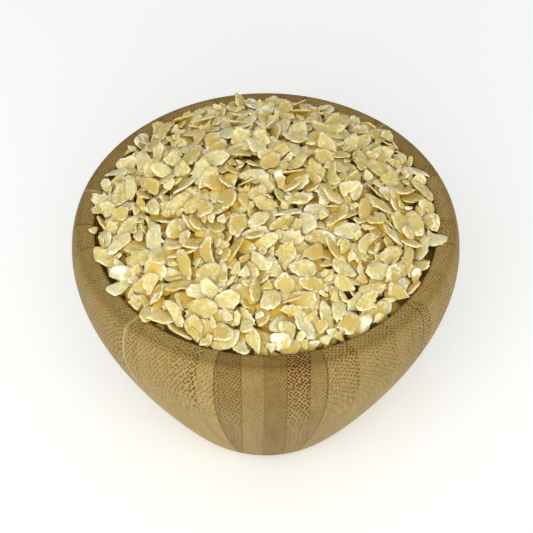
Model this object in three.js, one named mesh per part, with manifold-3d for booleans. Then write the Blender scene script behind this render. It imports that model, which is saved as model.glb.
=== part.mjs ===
// A turned bamboo bowl heaped with rolled rice flakes.
// Millimetres, +Z up, origin in the middle of the foot, the side seen in front at -Y.
import * as THREE from "three";
import { mergeVertices } from "three/addons/utils/BufferGeometryUtils.js";
import Module from "manifold-3d";

const wasm = await Module();
wasm.setup();

// Bowl: its widest circle, the height of the rim and of that circle, and the flat foot.
const BOWL_RADIUS = 60;
const BOWL_HEIGHT = 80;
const WIDEST_HEIGHT = 69.7;
const FOOT_RADIUS = 29.5;
const FOOT_ROUND = 2.6;
const WALL_FOOT = new THREE.Vector2(33.6, 2.6);
const WALL_RISE = new THREE.Vector2(36, 6.2);
const WALL_SHOULDER_DROP = 19.2;

// Rim: a level band between a soft outer edge and a small inner round.
const RIM_OUTER = 57;
const RIM_INNER = 52.4;
const INNER_ROUND = 0.9;

// Hollow: steep under the rim, then drawn in to a small level floor.
const FLOOR_HEIGHT = 13;
const FLOOR_RADIUS = 14;
const HOLLOW_NECK_DROP = 24;
const HOLLOW_TURN = new THREE.Vector2(31, 13);
const HOLLOW_STEPS = 5;
const BOWL_SIDES = 56;

// Heap: a low dome over the rim, fuller at the back than at the front edge.
const CLEARANCE = 0.4;
const HEAP_RADIUS = RIM_INNER - CLEARANCE;
const HEAP_PEAK = 15;
const HEAP_BACK_LIFT = 1.1;
const GUARD_DEPTH = 20;
const CORE_DEPTH = 1.3;
const CORE_RINGS = 9;
const CORE_SIDES = 40;
// Soft mounds and dips in the dome: x, y, height, spread.
const MOUNDS = [
  [-22, 8, 1.6, 13],
  [16, 20, 1.2, 12],
  [24, -12, 1.3, 11],
  [-8, -24, -1.3, 10],
  [2, 2, -1.0, 9],
  [-30, -20, 0.9, 9],
];

// Flakes: a rolled grain is a long thin oval, torn along one side.
const FLAKE_LENGTH = 8.8;
const FLAKE_WIDTH = 4.9;
const FLAKE_THICKNESS = 0.7;
const FLAKE_SIDES = 6;
const CORNER_SHIFT = 0.35;
const TORN_FROM = 0.3;
const TORN_LEAST = 0.72;
const SIZE_SPREAD = 0.3;

// The bed of flakes on the dome: how many, how far they lean and stand proud of it.
const BED_FLAKES = 188;
const BED_STRIDE = 89;
const BED_TILT = 0.34;
const BED_LIFT_LEAST = 0.2;
const BED_LIFT_MOST = 0.8;
const BED_RETRIES = 8;
const RETRY_STEP = 0.8;

// Flakes that have slid over the rim's inner edge, from the right round the back to the left.
const RIM_FLAKES = 9;
const RIM_FLAKE_START = 0.25;
const RIM_FLAKE_SWEEP = 3.8;
const RIM_FLAKE_REACH = 2.2;
const RIM_FLAKE_RISE = 2.3;
const RIM_FLAKE_LEAN = 0.2;
const RIM_FLAKE_TURN = 0.7;

const SLOPE_STEP = 1.5;
const MERGE_DISTANCE = 1e-4;
const GOLDEN_ANGLE = Math.PI * (3 - Math.sqrt(5));
const UP = new THREE.Vector3(0, 0, 1);

// A seeded random number from 0 to 1.
function seededRandom(seed) {
  let state = seed;
  return () => {
    state = (state + 0x6d2b79f5) | 0;
    let t = Math.imul(state ^ (state >>> 15), 1 | state);
    t = (t + Math.imul(t ^ (t >>> 7), 61 | t)) ^ t;
    return ((t ^ (t >>> 14)) >>> 0) / 4294967296;
  };
}

// Outer side of the bowl, from the middle of the foot to the edge of the level rim band.
function outerProfile() {
  const foot = new THREE.QuadraticBezierCurve(
    new THREE.Vector2(FOOT_RADIUS, 0),
    new THREE.Vector2(FOOT_RADIUS + FOOT_ROUND, 0),
    WALL_FOOT,
  );
  const wall = new THREE.CubicBezierCurve(
    WALL_FOOT,
    WALL_RISE,
    new THREE.Vector2(BOWL_RADIUS, WIDEST_HEIGHT - WALL_SHOULDER_DROP),
    new THREE.Vector2(BOWL_RADIUS, WIDEST_HEIGHT),
  );
  const edge = new THREE.EllipseCurve(
    RIM_OUTER,
    WIDEST_HEIGHT,
    BOWL_RADIUS - RIM_OUTER,
    BOWL_HEIGHT - WIDEST_HEIGHT,
    0,
    Math.PI / 2,
  );
  return [
    new THREE.Vector2(0, 0),
    ...foot.getPoints(2),
    ...wall.getPoints(8).slice(1),
    ...edge.getPoints(4).slice(1),
  ];
}

// Side and floor of the hollow, from the rim inwards, shifted in by a gap.
function hollowProfile(gap) {
  const top = new THREE.Vector2(RIM_INNER - gap, BOWL_HEIGHT - INNER_ROUND);
  const side = new THREE.CubicBezierCurve(
    top,
    new THREE.Vector2(RIM_INNER - gap, BOWL_HEIGHT - HOLLOW_NECK_DROP),
    new THREE.Vector2(HOLLOW_TURN.x - gap, HOLLOW_TURN.y + gap),
    new THREE.Vector2(FLOOR_RADIUS, FLOOR_HEIGHT + gap),
  );
  return [...side.getPoints(HOLLOW_STEPS), new THREE.Vector2(0, FLOOR_HEIGHT + gap)];
}

function bowlGeometry() {
  const innerEdge = new THREE.QuadraticBezierCurve(
    new THREE.Vector2(RIM_INNER + INNER_ROUND, BOWL_HEIGHT),
    new THREE.Vector2(RIM_INNER, BOWL_HEIGHT),
    new THREE.Vector2(RIM_INNER, BOWL_HEIGHT - INNER_ROUND),
  );
  const profile = [
    ...outerProfile(),
    ...innerEdge.getPoints(2).slice(0, -1),
    ...hollowProfile(0),
  ];
  // The lathe turns about Y, so the bowl is stood up on Z afterwards.
  return new THREE.LatheGeometry(profile, BOWL_SIDES).rotateX(Math.PI / 2);
}

// Height of the heap's own surface at a point, above the foot.
function heapHeight(x, y) {
  const share = Math.hypot(x, y) / HEAP_RADIUS;
  let height = BOWL_HEIGHT + HEAP_PEAK * (1 - share * share);
  height += (HEAP_BACK_LIFT * y) / HEAP_RADIUS;
  for (const [mx, my, rise, spread] of MOUNDS) {
    const distance = Math.hypot(x - mx, y - my) / spread;
    height += rise * Math.exp(-distance * distance) * (1 - share ** 4);
  }
  return height;
}

// Outward normal of the heap's surface at a point.
function heapNormal(x, y) {
  const dx = heapHeight(x + SLOPE_STEP, y) - heapHeight(x - SLOPE_STEP, y);
  const dy = heapHeight(x, y + SLOPE_STEP) - heapHeight(x, y - SLOPE_STEP);
  return new THREE.Vector3(-dx, -dy, 2 * SLOPE_STEP).normalize();
}

// A closed three.js mesh as a solid that can be joined.
function solid(geometry) {
  const bare = geometry.clone();
  bare.deleteAttribute("normal");
  bare.deleteAttribute("uv");
  const merged = mergeVertices(bare, MERGE_DISTANCE);
  return new wasm.Manifold(
    new wasm.Mesh({
      numProp: 3,
      vertProperties: merged.attributes.position.array,
      triVerts: new Uint32Array(merged.index.array),
    }),
  );
}

// A joined solid as a three.js mesh again.
function geometryOf(manifold) {
  const mesh = manifold.getMesh();
  const geometry = new THREE.BufferGeometry();
  geometry.setAttribute(
    "position",
    new THREE.BufferAttribute(new Float32Array(mesh.vertProperties), 3),
  );
  geometry.setIndex(new THREE.BufferAttribute(new Uint32Array(mesh.triVerts), 1));
  geometry.computeVertexNormals();
  return geometry;
}

// The bulk of the heap: it fills the hollow with a small gap, and its dome lies under the flakes.
function coreGeometry() {
  const dome = [];
  for (let ring = 0; ring < CORE_RINGS; ring++) {
    dome.push(new THREE.Vector2((HEAP_RADIUS * ring) / CORE_RINGS, BOWL_HEIGHT));
  }
  const side = hollowProfile(CLEARANCE);
  const profile = [...side.reverse(), ...dome.reverse()];
  const geometry = new THREE.LatheGeometry(profile, CORE_SIDES).rotateX(Math.PI / 2);
  const position = geometry.attributes.position;
  for (let i = 0; i < position.count; i++) {
    if (position.getZ(i) > BOWL_HEIGHT - INNER_ROUND / 2) {
      const x = position.getX(i);
      const y = position.getY(i);
      position.setZ(i, heapHeight(x, y) - CORE_DEPTH);
    }
  }
  return geometry;
}

// One flake lying in XY: a flat six-sided plate, its corners moved a little at random.
function flakeGeometry(length, width, random) {
  const corners = [];
  const tornSide = random() < 0.5 ? 1 : -1;
  for (let i = 0; i < FLAKE_SIDES; i++) {
    const angle = (2 * Math.PI * (i + CORNER_SHIFT * (random() - 0.5))) / FLAKE_SIDES;
    const isTorn = Math.sin(angle) * tornSide > TORN_FROM;
    const torn = isTorn ? TORN_LEAST + (1 - TORN_LEAST) * random() : 1;
    corners.push([
      (length / 2) * Math.cos(angle),
      (width / 2) * Math.sin(angle) * torn,
    ]);
  }
  const half = FLAKE_THICKNESS / 2;
  const vertices = [];
  for (const [x, y] of corners) {
    vertices.push(x, y, half, x, y, -half);
  }
  const faces = [];
  for (let i = 0; i < FLAKE_SIDES; i++) {
    const top = 2 * i;
    const nextTop = 2 * ((i + 1) % FLAKE_SIDES);
    faces.push(top, top + 1, nextTop + 1, top, nextTop + 1, nextTop);
    if (i > 0 && i < FLAKE_SIDES - 1) {
      faces.push(0, top, nextTop);
      faces.push(1, nextTop + 1, top + 1);
    }
  }
  const geometry = new THREE.BufferGeometry();
  geometry.setAttribute("position", new THREE.Float32BufferAttribute(vertices, 3));
  geometry.setIndex(faces);
  return geometry;
}

// Places a flake at a point, its face along a normal, turned by an angle about it.
function placeFlake(geometry, x, y, z, normal, turn) {
  const spin = new THREE.Quaternion().setFromAxisAngle(UP, turn);
  const lean = new THREE.Quaternion().setFromUnitVectors(UP, normal);
  const matrix = new THREE.Matrix4().compose(
    new THREE.Vector3(x, y, z),
    lean.multiply(spin),
    new THREE.Vector3(1, 1, 1),
  );
  return geometry.applyMatrix4(matrix);
}

// The rim with the clearance round it: no flake may enter it.
function rimGuard() {
  const top = BOWL_HEIGHT + CLEARANCE;
  const bottom = BOWL_HEIGHT - GUARD_DEPTH;
  const section = [
    new THREE.Vector2(HEAP_RADIUS, bottom),
    new THREE.Vector2(BOWL_RADIUS, bottom),
    new THREE.Vector2(BOWL_RADIUS, top),
    new THREE.Vector2(HEAP_RADIUS, top),
    new THREE.Vector2(HEAP_RADIUS, bottom),
  ];
  return solid(new THREE.LatheGeometry(section, BOWL_SIDES).rotateX(Math.PI / 2));
}

const guard = rimGuard();

function clearsBowl(geometry) {
  return solid(geometry).intersect(guard).isEmpty();
}

// The flakes that cover the dome, on a sunflower spiral, the largest first.
function bedFlakes(random) {
  const sizes = [];
  for (let i = 0; i < BED_FLAKES; i++) {
    sizes.push(1 + SIZE_SPREAD * (random() - 0.5));
  }
  sizes.sort((a, b) => b - a);
  const flakes = [];
  for (let i = 0; i < BED_FLAKES; i++) {
    // A stride with no common factor with the count spreads each size over the whole heap.
    const seat = (i * BED_STRIDE) % BED_FLAKES;
    const angle = seat * GOLDEN_ANGLE;
    const turn = 2 * Math.PI * random();
    const lean = BED_TILT * random();
    const leanTo = 2 * Math.PI * random();
    const lift = BED_LIFT_LEAST + (BED_LIFT_MOST - BED_LIFT_LEAST) * random();
    const outline = random();
    let reach = HEAP_RADIUS * Math.sqrt((seat + 0.5) / BED_FLAKES);
    // A flake that would cross the bowl is moved inwards until it is clear.
    for (let attempt = 0; attempt < BED_RETRIES; attempt++) {
      const x = reach * Math.cos(angle);
      const y = reach * Math.sin(angle);
      const normal = heapNormal(x, y)
        .add(new THREE.Vector3(lean * Math.cos(leanTo), lean * Math.sin(leanTo), 0))
        .normalize();
      const shape = flakeGeometry(
        FLAKE_LENGTH * sizes[i],
        FLAKE_WIDTH * sizes[i],
        seededRandom(Math.floor(outline * 1e6)),
      );
      const z = heapHeight(x, y) - CORE_DEPTH + lift;
      placeFlake(shape, x, y, z, normal, turn);
      if (clearsBowl(shape)) {
        flakes.push(shape);
        break;
      }
      reach -= RETRY_STEP;
    }
  }
  return flakes;
}

// A few flakes that hang out over the inner edge of the rim.
function rimFlakes(random) {
  const flakes = [];
  for (let i = 0; i < RIM_FLAKES; i++) {
    const angle = RIM_FLAKE_START + (RIM_FLAKE_SWEEP * (i + random())) / RIM_FLAKES;
    const size = 1 + SIZE_SPREAD * (random() - 0.5);
    const reach = HEAP_RADIUS - FLAKE_LENGTH / 2 + RIM_FLAKE_REACH * random();
    const x = reach * Math.cos(angle);
    const y = reach * Math.sin(angle);
    const shape = flakeGeometry(FLAKE_LENGTH * size, FLAKE_WIDTH * size, random);
    const normal = new THREE.Vector3(x, y, 0).setLength(RIM_FLAKE_LEAN).add(UP).normalize();
    const turn = angle + RIM_FLAKE_TURN * (random() - 0.5);
    placeFlake(shape, x, y, BOWL_HEIGHT + RIM_FLAKE_RISE, normal, turn);
    if (clearsBowl(shape)) flakes.push(shape);
  }
  return flakes;
}

// Core and flakes as one solid: sealed hollows are filled and loose scraps dropped.
function heapGeometry() {
  const random = seededRandom(20240611);
  const flakes = [...bedFlakes(random), ...rimFlakes(random)];
  const fused = wasm.Manifold.union([solid(coreGeometry()), ...flakes.map(solid)]);
  const bodies = fused.decompose();
  bodies.sort((a, b) => b.volume() - a.volume());
  return geometryOf(bodies[0]);
}

const bamboo = new THREE.MeshStandardMaterial({
  color: 0xa98650,
  roughness: 0.5,
  metalness: 0,
});
const riceFlake = new THREE.MeshStandardMaterial({
  color: 0xe0cb8c,
  roughness: 0.55,
  metalness: 0,
});

const filledBowl = new THREE.Group();

const bowl = new THREE.Mesh(bowlGeometry(), bamboo);
bowl.name = "bowl";
filledBowl.add(bowl);

const heap = new THREE.Mesh(heapGeometry(), riceFlake);
heap.name = "rice_flakes";
filledBowl.add(heap);

export default filledBowl;
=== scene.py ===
"""A turned bamboo bowl heaped with rolled rice flakes. Metres, +Z up, the side seen in front at -Y."""

import bpy
import numpy as np
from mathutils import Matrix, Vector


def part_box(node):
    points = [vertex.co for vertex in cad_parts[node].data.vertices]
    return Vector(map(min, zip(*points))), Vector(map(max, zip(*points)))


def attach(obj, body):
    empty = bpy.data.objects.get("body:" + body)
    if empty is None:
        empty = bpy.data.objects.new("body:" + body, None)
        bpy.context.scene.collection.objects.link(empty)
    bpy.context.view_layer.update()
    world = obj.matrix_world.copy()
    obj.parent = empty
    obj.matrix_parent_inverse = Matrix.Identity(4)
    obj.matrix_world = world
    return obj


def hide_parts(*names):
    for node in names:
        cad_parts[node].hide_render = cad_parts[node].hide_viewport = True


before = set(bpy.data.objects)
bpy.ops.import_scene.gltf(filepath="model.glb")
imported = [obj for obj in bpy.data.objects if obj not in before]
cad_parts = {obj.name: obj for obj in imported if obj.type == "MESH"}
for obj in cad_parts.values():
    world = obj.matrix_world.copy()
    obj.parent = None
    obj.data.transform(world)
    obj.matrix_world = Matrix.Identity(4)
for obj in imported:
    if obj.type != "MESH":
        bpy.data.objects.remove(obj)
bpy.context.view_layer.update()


# ---- Bowl ----------------------------------------------------------------------------------------
# Wedge-shaped staves of laminated bamboo are glued up round an upright axis and turned on a lathe
# to a thick-walled bowl with a level rim and a small flat foot, then sanded and lightly oiled.

MM = 0.001
BOWL_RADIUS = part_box("bowl")[1].x
BOWL_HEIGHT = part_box("bowl")[1].z
WIDEST_HEIGHT = BOWL_HEIGHT - 10.3 * MM
FOOT_RADIUS = 29.5 * MM
FOOT_ROUND = 2.6 * MM
# (radius, height) where the foot's round meets the wall, and the corner that the wall rises to.
FOOT_EDGE = (33.6 * MM, 2.6 * MM)
WALL_RISE = (36.0 * MM, 6.2 * MM)
SHOULDER_DROP = 19.2 * MM
RIM_OUTER = BOWL_RADIUS - 3.0 * MM
RIM_INNER = BOWL_RADIUS - 7.6 * MM
INNER_ROUND = 0.9 * MM
FLOOR_HEIGHT = 13.0 * MM
FLOOR_RADIUS = 14.0 * MM
NECK_DROP = 24.0 * MM
# (radius, height) of the corner at which the hollow's side turns towards its floor.
HOLLOW_TURN = (31.0 * MM, 13.0 * MM)
# Points on each stretch of the profile, from the foot up and down into the hollow.
FOOT_POINTS, WALL_POINTS, EDGE_POINTS = 8, 64, 18
BAND_POINTS, LIP_POINTS, HOLLOW_POINTS = 6, 7, 40

# Joints between staves, in degrees round the axis; the front is at -90. Three have pale glue.
STAVE_JOINTS = (-178, -134, -104.4, -72.7, -39, -10, 20, 48, 77, 107, 138, 167)
PALE_JOINTS = (-134, 48, 167)
COLUMN_ANGLE = np.radians(2.0)
# The fibres of a stave lie in upright planes and rise steeply; this is how far they lead outwards
# for each metre of rise, below the flare and above it.
FIBRE_LEAN = (0.44, 0.65)
FLARE_HEIGHT = 58.0 * MM
FLARE_BLEND = 4.0 * MM
# Bundles stand closer together through the wall than across a strip.
DEPTH_SQUEEZE = 1.1
# A stave is laminated from strips; their tones repeat every five strips.
STRIP_WIDTH = 6.6 * MM
STRIPS = 5
FRONT_STAVE = 2
FRONT_STRIP_START = 15.0 * MM
BAMBOO_SEED = 11
# How pale each stave is, how clearly its fibre bundles show, how much its strips differ, and how
# far apart its bundles stand.
# These are the staves' own tones, but the fifth, on the right, is paler partly as painted light.
STAVE_TONES = (0.65, 0.71, 0.31, 0.61, 0.74, 0.73, 0.42, 0.58, 0.46, 0.60, 0.44, 0.53)
BUNDLE_STRENGTHS = (0.75, 0.90, 1.50, 0.90, 0.85, 0.85, 0.80, 0.90, 0.80, 0.90, 0.80, 0.85)
STRIP_CONTRASTS = (0.20, 0.22, 1.00, 0.25, 0.35, 0.20, 0.30, 0.40, 0.20, 0.30, 0.35, 0.25)
BUNDLE_SPACINGS = MM * np.array(
    (1.00, 1.10, 0.96, 1.08, 0.98, 1.04, 0.95, 1.05, 1.00, 1.06, 0.95, 1.02)
)
joints = np.radians(STAVE_JOINTS + (STAVE_JOINTS[0] + 360,))


def bezier(corners, count):
    """Bezier curve: points slide along the lines between corners until one point is left."""
    share = np.linspace(0.0, 1.0, count)[:, None]
    rows = [np.tile(corner, (count, 1)) for corner in np.asarray(corners, float)]
    while len(rows) > 1:
        rows = [(1.0 - share) * low + share * high for low, high in zip(rows, rows[1:])]
    return rows[0]


def hollow_side(gap, count):
    """(radius, height) down the side of the hollow to its floor, drawn in from it by a gap."""
    turn_radius, turn_height = HOLLOW_TURN
    return bezier(
        [
            (RIM_INNER - gap, BOWL_HEIGHT - INNER_ROUND),
            (RIM_INNER - gap, BOWL_HEIGHT - NECK_DROP),
            (turn_radius - gap, turn_height + gap),
            (FLOOR_RADIUS, FLOOR_HEIGHT + gap),
        ],
        count,
    )


def bowl_profile():
    """(radius, height): foot round, wall curve, quarter ellipse, level band, lip, hollow."""
    foot = bezier([(FOOT_RADIUS, 0), (FOOT_RADIUS + FOOT_ROUND, 0), FOOT_EDGE], FOOT_POINTS)
    shoulder, widest = (BOWL_RADIUS, WIDEST_HEIGHT - SHOULDER_DROP), (BOWL_RADIUS, WIDEST_HEIGHT)
    wall = bezier([FOOT_EDGE, WALL_RISE, shoulder, widest], WALL_POINTS)
    turn = np.linspace(0.0, np.pi / 2, EDGE_POINTS)
    edge_radius = RIM_OUTER + (BOWL_RADIUS - RIM_OUTER) * np.cos(turn)
    edge_height = WIDEST_HEIGHT + (BOWL_HEIGHT - WIDEST_HEIGHT) * np.sin(turn)
    edge = np.stack([edge_radius, edge_height], axis=1)
    lip_start = (RIM_INNER + INNER_ROUND, BOWL_HEIGHT)
    lip_end = (RIM_INNER, BOWL_HEIGHT - INNER_ROUND)
    band = bezier([(RIM_OUTER, BOWL_HEIGHT), lip_start], BAND_POINTS)
    lip = bezier([lip_start, (RIM_INNER, BOWL_HEIGHT), lip_end], LIP_POINTS)
    hollow = hollow_side(0, HOLLOW_POINTS)
    return np.concatenate([foot, wall[1:], edge[1:], band[1:], lip[1:], hollow[1:]])


def stave_columns():
    """Angles of the mesh's columns, one of them on each joint, and the stave that each starts in."""
    angles, staves = [], []
    for stave, (start, end) in enumerate(zip(joints, joints[1:])):
        count = int(round((end - start) / COLUMN_ANGLE))
        angles.append(np.linspace(start, end, count, endpoint=False))
        staves.append(np.full(count, stave))
    return np.concatenate(angles), np.concatenate(staves)


def turned_rings(profile, angles):
    """Each profile point carried round the axis: x = r cos a, y = r sin a, z = height."""
    radius, height = profile[:, :1], profile[:, 1:]
    x, y = radius * np.cos(angles), radius * np.sin(angles)
    return np.stack([x, y, np.broadcast_to(height, x.shape)], axis=2)


def new_piece(name, points, faces):
    """An object at the origin with a mesh of these points and faces."""
    mesh = bpy.data.meshes.new(name)
    mesh.from_pydata(points, [], faces)
    piece = bpy.data.objects.new(name, mesh)
    bpy.context.scene.collection.objects.link(piece)
    return piece


def ring_mesh(name, rings, first_pole, last_pole):
    """A closed skin: quads between neighbouring rings, and a fan to a pole point at each end."""
    count, sides = rings.shape[:2]
    points = np.concatenate([[first_pole], rings.reshape(-1, 3), [last_pole]])
    near = 1 + np.arange(count * sides).reshape(count, sides)
    far = np.roll(near, -1, axis=1)
    quads = np.stack([near[:-1], far[:-1], far[1:], near[1:]], axis=2).reshape(-1, 4)
    first_fan = np.stack([np.zeros(sides, int), far[0], near[0]], axis=1)
    last_fan = np.stack([near[-1], far[-1], np.full(sides, len(points) - 1)], axis=1)
    piece = new_piece(name, points, first_fan.tolist() + quads.tolist() + last_fan.tolist())
    piece.data.shade_smooth()
    return piece


def read_all(items, name, number_type, width=1):
    """One property of each item in a mesh's list, as an array."""
    values = np.empty(len(items) * width, number_type)
    items.foreach_get(name, values)
    return values


def store(mesh, name, domain, values):
    """Writes an array of 3 numbers for each point or corner into a named attribute."""
    attribute = mesh.attributes.new(name, "FLOAT_VECTOR", domain)
    attribute.data.foreach_set("vector", np.asarray(values, np.float32).ravel())


columns, column_staves = stave_columns()
profile = bowl_profile()
bowl = ring_mesh(
    "bamboo_bowl", turned_rings(profile, columns), (0, 0, 0), (0, 0, FLOOR_HEIGHT)
)

# Each face corner's place and stave; a ring of faces has one face for each column.
positions = read_all(bowl.data.vertices, "co", float, 3).reshape(-1, 3)
corners = positions[read_all(bowl.data.loops, "vertex_index", int)]
face_columns = np.tile(np.arange(len(columns)), len(profile) + 1)
face_corners = read_all(bowl.data.polygons, "loop_total", int)
corner_staves = np.repeat(column_staves[face_columns], face_corners)
middle = ((joints[:-1] + joints[1:]) / 2)[corner_staves]
outward = corners[:, 0] * np.cos(middle) + corners[:, 1] * np.sin(middle)
across = corners[:, 1] * np.cos(middle) - corners[:, 0] * np.sin(middle)

# Where each corner lies in its stave: across the strips, through the wall from fibre to fibre, up.
bamboo_random = np.random.default_rng(BAMBOO_SEED)
strip_start = bamboo_random.uniform(0, STRIPS * STRIP_WIDTH, len(STAVE_JOINTS))
strip_start[FRONT_STAVE] = FRONT_STRIP_START
flared = FLARE_BLEND * np.logaddexp(0, (corners[:, 2] - FLARE_HEIGHT) / FLARE_BLEND)
fibre_out = FIBRE_LEAN[0] * corners[:, 2] + (FIBRE_LEAN[1] - FIBRE_LEAN[0]) * flared
depth = DEPTH_SQUEEZE * (fibre_out - outward)
fibre = np.stack([across + strip_start[corner_staves], depth, corners[:, 2]], axis=1)
store(bowl.data, "fibre", "CORNER", fibre)

# How far each corner is from a dark and from a pale glue joint, and what its stave looks like. A
# joint of the other colour counts as far away.
FAR = 50 * MM
joint_is_pale = np.isin(STAVE_JOINTS + STAVE_JOINTS[:1], PALE_JOINTS)
start_gap = np.abs(outward * np.tan(middle - joints[corner_staves]) + across)
end_gap = np.abs(outward * np.tan(joints[corner_staves + 1] - middle) - across)
start_pale, end_pale = joint_is_pale[corner_staves], joint_is_pale[corner_staves + 1]
dark_gap = np.minimum(np.where(start_pale, FAR, start_gap), np.where(end_pale, FAR, end_gap))
pale_gap = np.minimum(np.where(start_pale, start_gap, FAR), np.where(end_pale, end_gap, FAR))
spacing = BUNDLE_SPACINGS[corner_staves]
store(bowl.data, "joint", "CORNER", np.stack([dark_gap, pale_gap, spacing], axis=1))
stave_looks = np.stack([STAVE_TONES, BUNDLE_STRENGTHS, STRIP_CONTRASTS], axis=1)
store(bowl.data, "stave", "CORNER", stave_looks[corner_staves])


def srgb(red, green, blue):
    """A colour given as screen values from 0 to 255, as the linear colour that a shader takes."""
    share = np.array([red, green, blue]) / 255
    linear = np.where(share <= 0.04045, share / 12.92, ((share + 0.055) / 1.055) ** 2.4)
    return (*linear.tolist(), 1.0)


def add_node(tree, kind, inputs=None, **settings):
    """Adds a shader node with its settings; an input is joined to a socket or set to a value."""
    made = tree.nodes.new("ShaderNode" + kind)
    for name, value in settings.items():
        setattr(made, name, value)
    for socket, value in (inputs or {}).items():
        if isinstance(value, bpy.types.NodeSocket):
            tree.links.new(value, made.inputs[socket])
        else:
            made.inputs[socket].default_value = value
    return made


def maths(tree, operation, first, second=0.0, third=0.0, clamp=False):
    """One sum on numbers or sockets; returns the result's socket."""
    inputs = {0: first, 1: second, 2: third}
    return add_node(tree, "Math", inputs, operation=operation, use_clamp=clamp).outputs[0]


def product(tree, first, *others):
    """Numbers or sockets multiplied together, from left to right."""
    for other in others:
        first = maths(tree, "MULTIPLY", first, other)
    return first


def sway(tree, base, pattern, weight, middle=0.5, clamp=False):
    """The base plus a weight times what the pattern is above its middle."""
    above = maths(tree, "SUBTRACT", pattern, middle)
    return maths(tree, "MULTIPLY_ADD", above, weight, base, clamp=clamp)


def fade(tree, value, low, high, start=0.0, end=1.0):
    """A smooth change from start to end while the value goes from low to high."""
    inputs = {0: value, 1: low, 2: high, 3: start, 4: end}
    return add_node(tree, "MapRange", inputs, interpolation_type="SMOOTHSTEP").outputs[0]


def steps(tree, value, levels):
    """Equal steps, one for each level, while the value goes from 0 to 1."""
    ramp = add_node(tree, "ValToRGB", {0: value})
    ramp.color_ramp.interpolation = "CONSTANT"
    while len(ramp.color_ramp.elements) < len(levels):
        ramp.color_ramp.elements.new(1.0)
    for index, level in enumerate(levels):
        ramp.color_ramp.elements[index].position = index / len(levels)
        ramp.color_ramp.elements[index].color = (level, level, level, 1.0)
    return ramp.outputs[0]


def blend_colours(tree, share, first, second, blend_type="MIX"):
    """Mixes two colours by a share from 0 to 1."""
    inputs = {0: share, 6: first, 7: second}
    mixed = add_node(tree, "Mix", inputs, data_type="RGBA", blend_type=blend_type)
    return mixed.outputs[2]


def read_attribute(tree, name):
    """The three numbers that are stored at a point or corner, as a vector."""
    return add_node(tree, "Attribute", attribute_name=name).outputs["Vector"]


def object_place(tree):
    """Where on the object a point lies."""
    return add_node(tree, "TexCoord").outputs["Object"]


def split(tree, vector):
    """The three numbers of a vector, each as a socket."""
    return add_node(tree, "SeparateXYZ", {0: vector}).outputs


def scaled(tree, vector, factors):
    """A vector with each of its numbers multiplied by a factor."""
    inputs = {0: vector, 1: factors}
    return add_node(tree, "VectorMath", inputs, operation="MULTIPLY").outputs[0]


def noise(tree, vector, scale, detail):
    """Soft noise with about as many waves in each unit of the vector as the scale says."""
    inputs = {"Vector": vector, "Scale": scale, "Detail": detail}
    return add_node(tree, "TexNoise", inputs).outputs[0]


def new_material(name):
    """A material with an empty node tree; returns both."""
    material = bpy.data.materials.new(name)
    material.use_nodes = True
    material.node_tree.nodes.clear()
    return material, material.node_tree


def finish_surface(tree, inputs, **settings):
    """The shader that the colours and values feed, joined to the material's output."""
    shader = add_node(tree, "BsdfPrincipled", inputs, **settings)
    add_node(tree, "OutputMaterial", {"Surface": shader.outputs[0]})


BAMBOO_DARK = srgb(111, 83, 31)
BAMBOO_PALE = srgb(175, 151, 92)
# For the five strips in turn: how pale the wood is, how large its fibre bundles, how clear they are.
STRIP_TONES = (0.42, 0.64, 0.35, 0.56, 0.51)
BUNDLE_SIZES = (0.95, 0.80, 0.95, 1.45, 0.75)
BUNDLE_DEPTHS = (0.86, 0.54, 0.66, 1.00, 0.66)
# Streaks and clouds in the wood: waves a metre across, through and along it, detail, and weight.
STREAK_WAVES, STREAK_DETAIL, STREAK_WEIGHT = (500, 500, 25), 3.0, 0.7
CLOUD_WAVES, CLOUD_DETAIL, CLOUD_WEIGHT = (60, 60, 30), 2.0, 0.3

# Bundles: by how many radians their rows are turned and how much they are scattered; then the
# smallest dot's radius, what it grows by with its strip's size, and its soft edge, as shares of the
# spacing. Towards the outer side of a strip they are larger and clearer.
BUNDLE_BROWN = srgb(92, 62, 12)
BUNDLE_TURN = 0.6
BUNDLE_SCATTER = 0.45
DOT_RADIUS, DOT_GROWTH, DOT_EDGE = 0.18, 0.12, 0.06
OUTER_SIDE_POWER = 2.5
OUTER_SIDE_GROWTH, OUTER_SIDE_CLARITY = 0.05, 0.2
DOT_CLARITY, CLOUD_CLARITY = 0.55, 0.5
# Low on the wall, where it runs along the fibres, the streaks that they make are faint.
STREAK_HEIGHTS = (40.0 * MM, 74.0 * MM)
STREAK_CLARITY = 0.24
HALO_PALE = srgb(196, 168, 106)
HALO_WIDTH, HALO_WEIGHT = 0.18, 0.35

# What only the front stave has, which is the one whose strips differ this much: a strip with
# bundles that are almost black towards the rim, and marks of the cane's nodes on two strips.
FRONT_CONTRASTS = (0.8, 1.0)
BUNDLE_BLACK = srgb(62, 36, 8)
BLACK_GROUND = srgb(150, 110, 48)
BLACK_GROUND_WEIGHT = 0.5
BLACK_STRIP = (0.0, 0.0, 0.0, 1.0, 0.0)
BLACK_HEIGHTS = (70.0 * MM, 76.0 * MM)
NODE_ORANGE = srgb(158, 102, 34)
NODE_MARKS = (0.0, 0.3, 0.0, 0.38, 0.0)
NODE_HEIGHTS = (0.0, 38.0 * MM, 0.0, 76.6 * MM, 0.0)
NODE_WOBBLE = 5.0 * MM
NODE_REACH, NODE_WEIGHT = 1.5 * MM, 0.5

# Glue lines: between strips, as shares of a strip's width, and between staves, where a line fades
# out over this distance from the joint. The streaks break the dark ones up.
GLUE_BROWN = srgb(88, 58, 22)
GLUE_PALE = srgb(214, 196, 150)
STRIP_LINE, STRIP_LINE_WEIGHT = (0.955, 0.99), 1.4
DARK_LINE, DARK_LINE_WEIGHT = (0.08 * MM, 0.40 * MM), 0.9
PALE_LINE, PALE_LINE_WEIGHT = (0.10 * MM, 0.75 * MM), 0.42
LINE_BREAKS, LEAST_LINE = (0.35, 0.65), 0.4
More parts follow.
